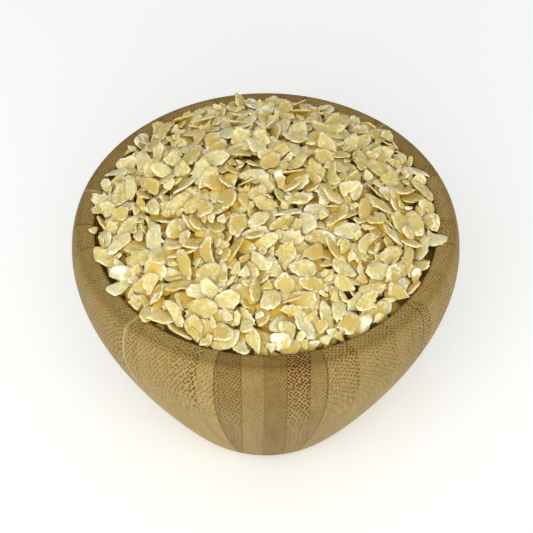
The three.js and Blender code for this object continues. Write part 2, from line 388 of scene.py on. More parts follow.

# Painted shade: the level band round the top and the turned edge beyond it are a little darker.
PAINTED_BAND_HEIGHTS = (76.6 * MM, 79.5 * MM)
PAINTED_BAND_SHADE = srgb(252, 251, 244)
PAINTED_EDGE_HEIGHTS = (78.6 * MM, 79.6 * MM)
PAINTED_EDGE_RADII = (55.4 * MM, 57.2 * MM)
PAINTED_EDGE_SHADE = srgb(242, 239, 228)
# Bundles are slightly sunk and a little duller than the wood; streaks are half as deep.
WOOD_RELIEF, RELIEF_STRENGTH, STREAK_RELIEF = 0.06 * MM, 0.5, 0.5
WOOD_ROUGHNESS, BUNDLE_DULLNESS = 0.58, 0.12
WOOD_SHINE = 0.16


def bamboo_material():
    """Fibre bundles are cells in the plane across the fibres, so they show as dots where the wall
    cuts them square and as streaks where it runs along them. Strips differ in tone."""
    material, tree = new_material("bamboo")
    fibre_at = read_attribute(tree, "fibre")
    across_at = split(tree, fibre_at)[0]
    place = object_place(tree)
    height_at = split(tree, place)[2]
    dark_gap, pale_gap, spacing = split(tree, read_attribute(tree, "joint"))
    stave_tone, bundle_strength, contrast = split(tree, read_attribute(tree, "stave"))
    cycle = maths(tree, "FRACT", maths(tree, "DIVIDE", across_at, STRIPS * STRIP_WIDTH))
    strip_share = maths(tree, "FRACT", product(tree, cycle, float(STRIPS)))
    outer_side = maths(tree, "POWER", strip_share, OUTER_SIDE_POWER)
    on_front = fade(tree, contrast, *FRONT_CONTRASTS)

    # Tone of the strips, with long soft streaks and clouds along the fibres.
    streaks = noise(tree, scaled(tree, fibre_at, STREAK_WAVES), 1.0, STREAK_DETAIL)
    clouds = noise(tree, scaled(tree, fibre_at, CLOUD_WAVES), 1.0, CLOUD_DETAIL)
    tone = sway(tree, stave_tone, steps(tree, cycle, STRIP_TONES), contrast)
    tone = sway(tree, tone, streaks, STREAK_WEIGHT)
    tone = sway(tree, tone, clouds, CLOUD_WEIGHT, clamp=True)
    colour = blend_colours(tree, tone, BAMBOO_DARK, BAMBOO_PALE)

    # Fibre bundles: dots in cells that are as wide as the stave's spacing.
    inputs = {0: fibre_at, "Scale": maths(tree, "DIVIDE", 1.0, spacing)}
    flat_fibre = add_node(tree, "VectorMath", inputs, operation="SCALE").outputs[0]
    inputs = {"Vector": flat_fibre, "Angle": BUNDLE_TURN}
    turned = add_node(tree, "VectorRotate", inputs, rotation_type="Z_AXIS").outputs[0]
    inputs = {"Vector": turned, "Scale": 1.0, "Randomness": BUNDLE_SCATTER}
    bundles = add_node(tree, "TexVoronoi", inputs, voronoi_dimensions="2D")
    from_middle = bundles.outputs["Distance"]
    size = steps(tree, cycle, BUNDLE_SIZES)
    size = maths(tree, "MULTIPLY_ADD", size, DOT_GROWTH, DOT_RADIUS)
    size = maths(tree, "MULTIPLY_ADD", outer_side, OUTER_SIDE_GROWTH, size)
    inner = maths(tree, "SUBTRACT", size, DOT_EDGE)
    outer = maths(tree, "ADD", size, DOT_EDGE)
    strength = maths(tree, "MULTIPLY_ADD", clouds, CLOUD_CLARITY, DOT_CLARITY)
    strength = maths(tree, "MULTIPLY_ADD", outer_side, OUTER_SIDE_CLARITY, strength)
    low_down = fade(tree, height_at, *STREAK_HEIGHTS, STREAK_CLARITY, 1.0)
    strength = product(tree, strength, low_down, bundle_strength)
    strip_depth = sway(tree, 1.0, steps(tree, cycle, BUNDLE_DEPTHS), contrast, middle=1.0)
    strength = maths(tree, "MULTIPLY", strength, strip_depth, clamp=True)
    halo = fade(tree, from_middle, outer, maths(tree, "ADD", outer, HALO_WIDTH), 1.0, 0.0)
    colour = blend_colours(tree, product(tree, halo, strength, HALO_WEIGHT), colour, HALO_PALE)
    dots = product(tree, fade(tree, from_middle, inner, outer, 1.0, 0.0), strength)
    black = product(tree, steps(tree, cycle, BLACK_STRIP), on_front)
    black = product(tree, black, fade(tree, height_at, *BLACK_HEIGHTS))
    ground_share = product(tree, black, BLACK_GROUND_WEIGHT)
    colour = blend_colours(tree, ground_share, colour, BLACK_GROUND)
    bundle_colour = blend_colours(tree, black, BUNDLE_BROWN, BUNDLE_BLACK)
    colour = blend_colours(tree, dots, colour, bundle_colour)

    # Ragged orange-brown marks where a strip crosses a node of the cane.
    wobble = maths(tree, "MULTIPLY_ADD", streaks, NODE_WOBBLE, -NODE_WOBBLE / 2)
    above_node = maths(tree, "SUBTRACT", height_at, steps(tree, cycle, NODE_HEIGHTS))
    from_node = maths(tree, "ABSOLUTE", maths(tree, "ADD", above_node, wobble))
    node_mark = product(tree, steps(tree, cycle, NODE_MARKS), on_front)
    node_mark = product(tree, node_mark, fade(tree, from_node, 0.0, NODE_REACH, NODE_WEIGHT, 0.0))
    colour = blend_colours(tree, node_mark, colour, NODE_ORANGE)

    # Glue lines between strips and between staves.
    strip_line = product(tree, fade(tree, strip_share, *STRIP_LINE), contrast)
    strip_line = product(tree, strip_line, product(tree, streaks, STRIP_LINE_WEIGHT))
    dark_line = fade(tree, dark_gap, *DARK_LINE, DARK_LINE_WEIGHT, 0.0)
    dark_line = product(tree, dark_line, fade(tree, streaks, *LINE_BREAKS, LEAST_LINE, 1.0))
    pale_line = fade(tree, pale_gap, *PALE_LINE, PALE_LINE_WEIGHT, 0.0)
    colour = blend_colours(tree, strip_line, colour, GLUE_BROWN)
    colour = blend_colours(tree, dark_line, colour, GLUE_BROWN)
    colour = blend_colours(tree, pale_line, colour, GLUE_PALE)

    # Painted shade on the level band by height, and on the turned edge by height and radius.
    painted_band_shade = fade(tree, height_at, *PAINTED_BAND_HEIGHTS)
    colour = blend_colours(tree, painted_band_shade, colour, PAINTED_BAND_SHADE, "MULTIPLY")
    level = scaled(tree, place, (1, 1, 0))
    radius = add_node(tree, "VectorMath", {0: level}, operation="LENGTH").outputs["Value"]
    edge = product(tree, fade(tree, height_at, *PAINTED_EDGE_HEIGHTS), fade(tree, radius, *PAINTED_EDGE_RADII))
    colour = blend_colours(tree, edge, colour, PAINTED_EDGE_SHADE, "MULTIPLY")

    relief = maths(tree, "MULTIPLY_ADD", dots, -1.0, product(tree, streaks, STREAK_RELIEF))
    inputs = {"Height": relief, "Distance": WOOD_RELIEF, "Strength": RELIEF_STRENGTH}
    bump = add_node(tree, "Bump", inputs)
    looks = {
        "Base Color": colour,
        "Roughness": maths(tree, "MULTIPLY_ADD", dots, BUNDLE_DULLNESS, WOOD_ROUGHNESS),
        "Normal": bump.outputs[0],
        "Specular IOR Level": WOOD_SHINE,
    }
    finish_surface(tree, looks)
    return material


bowl.data.materials.append(bamboo_material())
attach(bowl, "root")
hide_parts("bowl")


# ---- Bed of the heap -----------------------------------------------------------------------------
# The flakes deep in the bowl, which show only as shade through the gaps between those on top: one
# lumpy body that fills the hollow and rises to a low dome under the loose flakes.

HEAP_GAP = 0.4 * MM
HEAP_RADIUS = RIM_INNER - HEAP_GAP
HEAP_PEAK = 15.0 * MM
HEAP_BACK_LIFT = 1.1 * MM
# Soft mounds and dips in the dome: x, y, height, spread.
MOUNDS = MM * np.array(
    [
        (-22, 8, 1.6, 13),
        (16, 20, 1.2, 12),
        (24, -12, 1.3, 11),
        (-8, -24, -1.3, 10),
        (2, 2, -1.0, 9),
        (-30, -20, 0.9, 9),
    ]
)
BED_DEPTH = 5.4 * MM
# Lumps in the bed: their height, and how many waves make them. Each wave is turned by so many
# radians from the one before it and is so many millimetres longer; the first has this length.
BED_LUMPS = 0.7 * MM
LUMP_WAVES = 5
LUMP_TURN, LUMP_GROWTH, FIRST_LUMP = 2.4, 0.9, 2.6
BED_RINGS, BED_SIDES, BED_SIDE_POINTS = 44, 160, 24


def heap_height(x, y):
    """Height of the heap's top: a parabola of revolution, a tilt towards the back, round mounds."""
    share = np.hypot(x, y) / HEAP_RADIUS
    height = BOWL_HEIGHT + HEAP_PEAK * (1 - share**2) + HEAP_BACK_LIFT * y / HEAP_RADIUS
    for mound_x, mound_y, rise, spread in MOUNDS:
        squared = ((x - mound_x) ** 2 + (y - mound_y) ** 2) / spread**2
        height = height + rise * np.exp(-squared) * (1 - share**4)
    return height


def lumps(x, y):
    """A third of the sum of sine waves in several directions, a few millimetres long."""
    total = np.zeros_like(x)
    for index in range(LUMP_WAVES):
        turn, length = LUMP_TURN * index, (FIRST_LUMP + LUMP_GROWTH * index) * MM
        total += np.sin((x * np.cos(turn) + y * np.sin(turn)) * 2 * np.pi / length + index)
    return total / 3


def bed_height(x, y):
    """Height of the bed's top: the heap's, less the depth of the loose flakes, and lumpy."""
    return heap_height(x, y) - BED_DEPTH + BED_LUMPS * lumps(x, y)


bed_angles = np.linspace(0, 2 * np.pi, BED_SIDES, endpoint=False)
bed_side = turned_rings(hollow_side(HEAP_GAP, BED_SIDE_POINTS)[::-1], bed_angles)
bed_radii = np.linspace(HEAP_RADIUS, 0, BED_RINGS, endpoint=False)
bed_top = turned_rings(np.stack([bed_radii, 0 * bed_radii], axis=1), bed_angles)
bed_top[..., 2] = bed_height(bed_top[..., 0], bed_top[..., 1])
bed = ring_mesh(
    "flake_bed",
    np.concatenate([bed_side, bed_top]),
    (0, 0, FLOOR_HEIGHT + HEAP_GAP),
    (0, 0, bed_top[-1, :, 2].mean()),
)

# The bed's brown is painted shade: the flakes down there are as pale as the rest, but lie in shade.
BED_PAINTED_SHADE = srgb(150, 113, 34)
# Patches of the bed a metre, each about as large as a broken flake, and how their tones differ.
BED_PATCHES = 240.0
BED_TONES = (0.55, 1.25)
BED_ROUGHNESS = 0.7


def bed_material():
    """Flakes in painted shade: an ochre that varies from flake to flake."""
    material, tree = new_material("flake_bed")
    cells = add_node(tree, "TexVoronoi", {"Vector": object_place(tree), "Scale": BED_PATCHES})
    grey = add_node(tree, "SeparateColor", {0: cells.outputs["Color"]}).outputs[0]
    tone = fade(tree, grey, 0.0, 1.0, *BED_TONES)
    colour = blend_colours(tree, 1.0, BED_PAINTED_SHADE, tone, "MULTIPLY")
    finish_surface(tree, {"Base Color": colour, "Roughness": BED_ROUGHNESS})
    return material


bed.data.materials.append(bed_material())
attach(bed, "root")
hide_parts("rice_flakes")


# ---- Rice flakes ---------------------------------------------------------------------------------
# Grains of rice steamed and rolled flat: thin, hard, slightly cupped plates, cream to golden and
# paler at the rim, many of them torn along one side or broken. They lie as they fell, leaning on
# each other, and some hang over the inner edge of the bowl's rim.

FLAKE_SEED = 41
flake_random = np.random.default_rng(FLAKE_SEED)
# By what factors flakes differ from the sizes of their kind, and how much they twist.
SIZE_SPREAD = (0.84, 1.14)
THICKNESS_SPREAD = (0.8, 1.25)
BEND_SPREAD = (0.6, 1.2)
TWIST = 0.35 * MM
# The rim waves by this share. The torn stretch lies along one side: its middle is between these
# shares of half a turn, and its teeth fade with the cosine of the angle to it, times the steepness
# and plus the width.
RIM_WAVES = 0.15
TEAR_PLACES = (0.2, 0.8)
TEAR_STEEPNESS, TEAR_WIDTH = 1.6, 0.2
# A line of break is a little ragged too, and no cosine along it counts as less than this.
BREAK_RAGGED = 0.08
LEAST_COSINE = 0.05


def shares(low, high, count):
    """Random numbers between two limits."""
    return flake_random.uniform(low, high, count)


def grains(
    count, sides, length, width, thickness, cup, curl, ragged, torn, bend=0.0, breaks=()
):
    """The sizes of one kind of flake: for each flake its half length and half width, how much it
    bends in its plane, cups, curls and twists, and a factor on its outline at each side."""
    sizes = {
        "half_length": length / 2 * shares(*SIZE_SPREAD, count),
        "half_width": width / 2 * shares(*SIZE_SPREAD, count),
        "thickness": thickness * shares(*THICKNESS_SPREAD, count),
        "bend": bend * shares(*BEND_SPREAD, count),
        "cup": cup * shares(-1, 1, count),
        "curl": curl * shares(-1, 1, count),
        "twist": TWIST * shares(-1, 1, count),
    }
    angle = np.linspace(0, 2 * np.pi, sides, endpoint=False)
    # One side is torn into teeth; the rest of the rim is only a little uneven.
    place = shares(*TEAR_PLACES, (count, 1))
    torn_middle = place * np.pi + np.pi * (shares(0, 1, (count, 1)) < 0.5)
    beside = np.clip(TEAR_STEEPNESS * np.cos(angle - torn_middle) + TEAR_WIDTH, 0, 1)
    teeth = torn * beside * shares(0, 1, (count, sides))
    waves = sum(
        shares(-RIM_WAVES, RIM_WAVES, (count, 1)) / order
        * np.cos(order * (angle - shares(0, 2 * np.pi, (count, 1))))
        for order in (1, 2, 3, 4)
    )
    outline = 1 + waves - teeth + ragged * shares(-1, 1, (count, sides))
    # A break is a straight line across the flake: its least and greatest distance from the middle,
    # as shares of the half length and below 0 at the other end, and the slant that it may have.
    for low, high, slant in breaks:
        away = shares(low, high, (count, 1))
        facing = shares(-slant, slant, (count, 1)) + (np.pi if low < 0 else 0)
        reach = np.abs(away) / np.maximum(np.cos(angle - facing), LEAST_COSINE)
        outline = np.minimum(outline, reach * (1 + BREAK_RAGGED * shares(-1, 1, (count, sides))))
    return {"sides": sides, "sizes": sizes, "outline": outline}


# A flake that isn't bent still gets this much, because its arc's radius is divided by the bend.
LEAST_BEND = 1e-4
# Taken off the squares in a cup and a curl, so that they hardly move the flake's mean height.
MEAN_SQUARE = 0.3


def flake_skin(kind, pick, share, angle):
    """Middle surface of the flakes picked: an oval r(angle) scaled by share, its long axis bent
    to an arc, and lifted by a cup (x squared), a curl (y squared) and a twist (x y)."""
    one = {name: value[pick][:, None] for name, value in kind["sizes"].items()}
    sides, outline = kind["sides"], kind["outline"][pick]
    at = (angle % (2 * np.pi)) / (2 * np.pi) * sides
    before = np.floor(at).astype(int) % sides
    part = at - np.floor(at)
    rim = (1 - part) * outline[:, before] + part * outline[:, (before + 1) % sides]
    x = one["half_length"] * share * rim * np.cos(angle)
    y = one["half_width"] * share * rim * np.sin(angle)
    u, v = x / one["half_length"], y / one["half_width"]
    cupped, curled = one["cup"] * (u**2 - MEAN_SQUARE), one["curl"] * (v**2 - MEAN_SQUARE)
    z = cupped + curled + one["twist"] * u * v
    bend = np.maximum(one["bend"], LEAST_BEND)
    arc, radius = u * bend, one["half_length"] / bend
    return np.stack([(radius - y) * np.sin(arc), radius - (radius - y) * np.cos(arc), z], axis=2)


KINDS = {
    # Whole grains with a rim that is only a little uneven.
    "whole_flakes": grains(
        count=620, sides=22, length=9.3 * MM, width=5.4 * MM, thickness=0.46 * MM,
        cup=0.45 * MM, curl=0.35 * MM, ragged=0.07, torn=0.20,
    ),
    # Whole grains torn along one side.
    "torn_flakes": grains(
        count=700, sides=26, length=9.6 * MM, width=5.9 * MM, thickness=0.44 * MM,
        cup=0.5 * MM, curl=0.4 * MM, ragged=0.08, torn=0.50,
    ),
    # Grains that were bent as they were rolled, and lost their germ.
    "bent_flakes": grains(
        count=240, sides=22, length=10.1 * MM, width=4.0 * MM, thickness=0.46 * MM,
        cup=0.35 * MM, curl=0.3 * MM, ragged=0.08, torn=0.22, bend=0.80,
    ),
    # Grains broken across.
    "broken_flakes": grains(
        count=680, sides=20, length=9.5 * MM, width=5.7 * MM, thickness=0.44 * MM,
        cup=0.4 * MM, curl=0.35 * MM, ragged=0.08, torn=0.28, breaks=((0.0, 0.6, 0.6),),
    ),
    # Small bits, broken at both ends.
    "flake_bits": grains(
        count=470, sides=12, length=6.4 * MM, width=3.9 * MM, thickness=0.34 * MM,
        cup=0.25 * MM, curl=0.2 * MM, ragged=0.12, torn=0.25,
        breaks=((0.15, 0.5, 0.6), (-0.45, -0.12, 0.6)),
    ),
}

# The heap is kept as a map of heights on a square grid while the flakes fall on it. Beyond the
# hollow's side the map shows the bowl's level rim.
MAP_CELL = 0.4 * MM
MAP_HALF = 62 * MM
MAP_SIZE = int(2 * MAP_HALF / MAP_CELL)
CLIFF_RADIUS = RIM_INNER - 0.6 * MM
RIM_CLEARANCE = 0.15 * MM
map_line = (np.arange(MAP_SIZE) + 0.5) * MAP_CELL - MAP_HALF
map_x, map_y = np.meshgrid(map_line, map_line, indexing="ij")
on_rim = np.hypot(map_x, map_y) > CLIFF_RADIUS
heights = bed_height(map_x, map_y)
heights[on_rim] = BOWL_HEIGHT + RIM_CLEARANCE
target = heap_height(map_x, map_y)


def map_cells(points):
    """The map's row and column under each point, as two arrays that pick values from a map."""
    cells = ((points[..., :2] + MAP_HALF) / MAP_CELL).astype(int)
    return tuple(np.moveaxis(np.clip(cells, 0, MAP_SIZE - 1), -1, 0))


def lean_matrices(slopes, turn):
    """Turns a flake about the upright, then leans it so that its plane has the given slopes."""
    normal = np.stack([-slopes[..., 0], -slopes[..., 1], np.ones(slopes.shape[:-1])], axis=-1)
    normal /= np.linalg.norm(normal, axis=-1, keepdims=True)
    forward = np.stack([np.cos(turn), np.sin(turn), np.zeros_like(turn)], axis=-1)
    forward = forward - normal * np.sum(forward * normal, axis=-1, keepdims=True)
    forward /= np.linalg.norm(forward, axis=-1, keepdims=True)
    sideways = np.cross(normal, forward)
    return np.stack([forward, sideways, normal], axis=-1)


def rest_heights(points, matrices, spots):
    """How high a flake's middle stands when, leaned so, it first touches the heap at each spot."""
    placed = points @ np.swapaxes(matrices, -1, -2)
    below = heights[map_cells(placed[..., :2] + spots[..., None, :])]
    return np.max(below - placed[..., 2], axis=-1)


# A flake looks at this many spots, and tries the few with the deepest hollows. A spot is as deep
# as the mean of the points around it.
SPOTS = 90
CANDIDATES = 5
LOOK_AROUND = 1.3 * MM
AROUND = np.linspace(0, 2 * np.pi, 8, endpoint=False)
NEARBY = LOOK_AROUND * np.stack([np.cos(AROUND), np.sin(AROUND)], axis=1)
FALL_RADIUS = RIM_INNER - 1.2 * MM
# Some flakes fall along the rim, where they close the gap between the heap and the wood.
RIM_SHARE = 0.18
RIM_REACH = (RIM_INNER - 4.5 * MM, RIM_INNER - 0.2 * MM)
# It starts with a random part of the heap's slope, taken over this step to either side, and tries
# leans to all sides, by ever smaller steps.
SLOPE_STEP = 1.5 * MM
SLOPE_PARTS = (-0.3, 1.0)
LEAN_STEPS = (0.3, 0.15, 0.08)
LEAN_GRID = np.array([(a, b) for a in (-1, 0, 1) for b in (-1, 0, 1)], float)
# Some stand steeply instead. The others lie unevenly, with their upper sides a little to the front.
STEEP_SHARE = 0.10
STEEP_SLOPES = (0.7, 1.6)
LEAN_SPREAD = 0.26
FRONT_LEAN = (0.0, 0.16)
# How far a flake should hang over the rim at most, and may stand out of the heap; and what an
# overhang weighs up to that limit and past it, when the lowest place is chosen.
RIM_OVERHANG = 3.6 * MM
MOST_PROUD = 0.9 * MM
OVER_WEIGHT, PAST_WEIGHT = 0.08, 9.0


def ring_points(sides, rings):
    """Shares of a flake's half size, and angles, of points on rings round its middle."""
    angle = np.tile(np.linspace(0, 2 * np.pi, sides, endpoint=False), len(rings))
    return np.repeat(rings, sides), angle


# The points with which a flake feels the heap below it, and those that draw it on the map.
FEEL_POINTS = ring_points(24, (1.0, 0.72, 0.42, 0.12))
DRAW_POINTS = ring_points(60, np.linspace(1.0, 0.05, 12))


def deep_spots():
    """The deepest hollows among spots that lie evenly over the heap or, at times, along its rim."""
    angle = shares(0, 2 * np.pi, SPOTS)
    radius = FALL_RADIUS * np.sqrt(shares(0, 1, SPOTS))
    if flake_random.random() < RIM_SHARE:
        radius = shares(*RIM_REACH, SPOTS)
    spots = np.stack([radius * np.cos(angle), radius * np.sin(angle)], axis=1)
    around = map_cells(spots[:, None] + NEARBY)
    depth = np.mean(heights[around] - target[around], axis=1)
    return spots[np.argsort(depth)[:CANDIDATES]]


def heap_slopes(spots):
    """The heap's slopes in x and y: what it rises from a step before each spot to a step after."""
    x, y = spots[:, 0], spots[:, 1]
    rise_x = heap_height(x + SLOPE_STEP, y) - heap_height(x - SLOPE_STEP, y)
    rise_y = heap_height(x, y + SLOPE_STEP) - heap_height(x, y - SLOPE_STEP)
    return np.stack([rise_x, rise_y], axis=1) / (2 * SLOPE_STEP)


def resting_slopes(under, spots, turn):
    """How a flake leans at each spot: from the heap's slope it leans on, at each step to the side
    that brings its middle lowest, or it stands steeply."""
    slopes = heap_slopes(spots) * shares(*SLOPE_PARTS, (CANDIDATES, 1))
    if flake_random.random() < STEEP_SHARE:
        away = shares(0, 2 * np.pi, (CANDIDATES, 1))
        steep = shares(*STEEP_SLOPES, (CANDIDATES, 1))
        return slopes + steep * np.hstack([np.cos(away), np.sin(away)])
    for lean in LEAN_STEPS:
        tries = slopes[:, None] + lean * LEAN_GRID
        matrices = lean_matrices(tries, turn[:, None] + 0 * tries[..., 0])
        rests = rest_heights(under, matrices, spots[:, None])
        slopes = tries[np.arange(CANDIDATES), np.argmin(rests, axis=1)]
    return slopes + flake_random.normal(0, LEAN_SPREAD, (CANDIDATES, 2)) + FRONT_LEAN


def drop_flake(kind, index):
    """Lets one flake fall: of the deepest hollows it takes the one where it comes to rest lowest,
    and is drawn on the map. Returns its turn matrix and its middle, or nothing where it would
    stand too proud of the heap."""
    half_thick = (0, 0, kind["sizes"]["thickness"][index] / 2)
    under = flake_skin(kind, [index], *FEEL_POINTS)[0] - half_thick
    spots = deep_spots()
    turn = shares(0, 2 * np.pi, CANDIDATES)
    matrices = lean_matrices(resting_slopes(under, spots, turn), turn)
    rests = rest_heights(under, matrices, spots)
    plan = (under @ np.swapaxes(matrices, -1, -2))[..., :2] + spots[:, None]
    over = np.maximum(np.linalg.norm(plan, axis=-1).max(axis=1) - RIM_INNER, 0)
    past = np.maximum(over - RIM_OVERHANG, 0)
    cost = rests - target[map_cells(spots)] + OVER_WEIGHT * over + PAST_WEIGHT * past
    best = np.argmin(cost)
    if cost[best] > MOST_PROUD:
        return None
    middle = np.array([*spots[best], rests[best]])
    upper = flake_skin(kind, [index], *DRAW_POINTS)[0] + half_thick
    upper = upper @ matrices[best].T + middle
    np.maximum.at(heights, map_cells(upper), upper[:, 2])
    return matrices[best], middle


order = [(name, index) for name, kind in KINDS.items() for index in range(len(kind["outline"]))]
flake_random.shuffle(order)
places = {name: [] for name in KINDS}
for name, index in order:
    place = drop_flake(KINDS[name], index)
    if place is not None:
        places[name].append((index, *place))


def blurred(field, reach):
    """Mean of a map over a square of cells, taken along one side and then along the other."""
    for axis in (0, 1):
        shifted = [np.roll(field, shift, axis) for shift in range(-reach, reach + 1)]
        field = sum(shifted) / len(shifted)
    return field


BLUR_CELLS = 3
heap_skin = blurred(heights, BLUR_CELLS)

# The two rings on a flake's upper side, as shares of its half size, and how far they lie above the
# middle of its thickness, as shares of it; then how far the lower ring lies below that.
TOP_RINGS = (0.74, 1.0)
TOP_HEIGHTS = (0.52, 0.36)
EDGE_DEPTH = 0.36
# How near its rim each row of points lies; the underside is told apart by a number below 0.
RIM_NEARNESS = (0.0, *TOP_RINGS, -0.5, -0.5)
WRINKLE = 0.10 * MM
# The flakes' patterns are cut from one noise, this far apart.
GRAIN_STEP = 7.3 * MM
UPWARDS = np.array((0.0, 0.0, 1.0))


def flake_points(kind, picked):
    """Points of flakes before they are leaned: one and two rings on the upper side, each ring a
    little wrinkled, a ring at the lower end of a steep edge, and one under the middle. Also says
    how near the rim each point is."""
    sides, count = kind["sides"], len(picked)
    angle = np.linspace(0, 2 * np.pi, sides, endpoint=False)
    thick = kind["sizes"]["thickness"][picked, None, None] * UPWARDS
    centre = flake_skin(kind, picked, 0.0, angle[:1])
    rows = [centre + 0.5 * thick]
    for share, height in zip(TOP_RINGS, TOP_HEIGHTS):
        wrinkles = WRINKLE * shares(-1, 1, (count, sides, 1)) * UPWARDS
        rows.append(flake_skin(kind, picked, share, angle) + height * thick + wrinkles)
    rows.append(flake_skin(kind, picked, 1.0, angle) - EDGE_DEPTH * thick)
    rows.append(centre - 0.5 * thick)
    nearness = np.repeat(RIM_NEARNESS, [row.shape[1] for row in rows])
    return np.concatenate(rows, axis=1), nearness


def flake_faces(sides, size, count):
    """Faces of one flake of so many points: a fan on top, quads between rings, a fan below; then
    the same for each flake, moved on by its points. Also says which of them are shaded smooth."""
    rings = 1 + np.arange(size - 2).reshape(-1, sides)
    nexts = np.roll(rings, -1, axis=1)
    quads = np.stack([rings[:-1], rings[1:], nexts[1:], nexts[:-1]], axis=2).reshape(-1, 4)
    top_fan = np.stack([np.zeros(sides, int), rings[0], nexts[0]], axis=1)
    bottom_fan = np.stack([np.full(sides, size - 1), nexts[-1], rings[-1]], axis=1)
    shift = (np.arange(count) * size)[:, None, None]
    faces = []
    for part in (top_fan, quads, bottom_fan):
        faces += (part + shift).reshape(-1, part.shape[1]).tolist()
    # The broken edge stays crisp: only the upper and lower sides are smooth.
    is_top = np.repeat(np.arange(len(rings) - 1) < len(TOP_RINGS) - 1, sides)
    fans = np.ones(count * sides, bool)
    return faces, np.concatenate([fans, np.tile(is_top, count), fans])


def flake_mesh(name, kind, placed):
    """Joins one kind's flakes, each leaned by its matrix and moved to its place, and stores what
    their material reads."""
    picked, matrices, middles = (np.array(part) for part in zip(*placed))
    flat, nearness = flake_points(kind, picked)
    points = flat @ np.swapaxes(matrices, 1, 2) + middles[:, None]
    count, size = points.shape[:2]
    faces, smooth = flake_faces(kind["sides"], size, count)
    piece = new_piece(name, points.reshape(-1, 3), faces)
    piece.data.polygons.foreach_set("use_smooth", smooth)
    # A tone and a chalkiness of each flake, and how near its rim a point is.
    grain = np.empty_like(points)
    grain[..., 0] = shares(0, 1, (count, 1))
    grain[..., 1] = shares(0, 1, (count, 1))
    grain[..., 2] = nearness
    store(piece.data, "grain", "POINT", grain)
    # Where each point lies in its own flake, with a step from flake to flake.
    flat[..., 2] = GRAIN_STEP * np.arange(count)[:, None]
    store(piece.data, "own", "POINT", flat)
    # How deep each point lies under the heap's mean surface, by which the material paints shade.
    lie = np.zeros_like(points)
    lie[..., 0] = heap_skin[map_cells(points)] - points[..., 2]
    store(piece.data, "lie", "POINT", lie)
    return piece


FLAKE_CREAM = srgb(233, 225, 169)
FLAKE_GOLD = srgb(205, 181, 97)
FLAKE_GREY = srgb(204, 197, 150)
FLAKE_RIM = srgb(250, 248, 224)
FLAKE_CHALK = srgb(250, 248, 226)
FLAKE_OCHRE = srgb(200, 166, 84)
# Painted glow: undersides and lower edges are a warm gold, for light shining through into their shade.
UNDERSIDE_PAINTED_GLOW = srgb(224, 194, 106)
# The golden brown of painted shade and warm bounce light deep between flakes.
DEEP_PAINTED_SHADE = srgb(228, 190, 66)
# Clouds, specks and lengthwise creases in the starch: waves a metre, detail, and weight in the tone.
MOTTLE_SCALE, MOTTLE_DETAIL, MOTTLE_WEIGHT, MOTTLE_MIDDLE = 420.0, 3.0, 1.8, 0.55
SPECK_SCALE, SPECK_DETAIL, SPECK_WEIGHT = 1300.0, 2.0, 1.3
CREASE_WAVES, CREASE_DETAIL, CREASE_WEIGHT = (350, 1000, 900), 2.0, 1.0
# Greyish flakes are those of the highest tones, ochre ones those of the lowest; both in patches.
GREY_TONES, GREY_CREASES = (0.72, 0.90), (0.40, 0.60)
OCHRE_TONES, OCHRE_PATCHES, OCHRE_WEIGHT = (0.20, 0.0), (0.42, 0.60), 0.6
# The pale rim is ragged with specks, and weaker on flakes that aren't chalky and between patches.
RIM_SPECKS, RIM_FADE = 1.1, (0.58, 1.12)
RIM_CHALK, LEAST_CHALK_RIM = (0.0, 0.8), 0.45
RIM_PATCHES, LEAST_PATCH_RIM = (0.40, 0.56), 0.25
# The chalkiest flakes have a white belly. The underside's nearness to the rim is below 0.
BELLY_CHALK, BELLY_PATCHES = (0.91, 0.97), (0.44, 0.60)
UNDERSIDE_FADE = (0.0, -0.4)
# Painted shade: what lies between these depths under the heap's surface is blended towards golden
# brown.
SHADE_DEPTHS, SHADE_WEIGHT = (0.3 * MM, 2.4 * MM), 0.85
FLAKE_RELIEF, FLAKE_RELIEF_STRENGTH, FINE_RELIEF = 0.30 * MM, 0.7, 0.4
FLAKE_ROUGHNESS, FLAKE_SHINE = 0.38, 0.30
# Light spreads this far inside a flake, red furthest.
GLOW_REACH, GLOW_COLOURS = 0.8 * MM, (1.0, 0.82, 0.42)


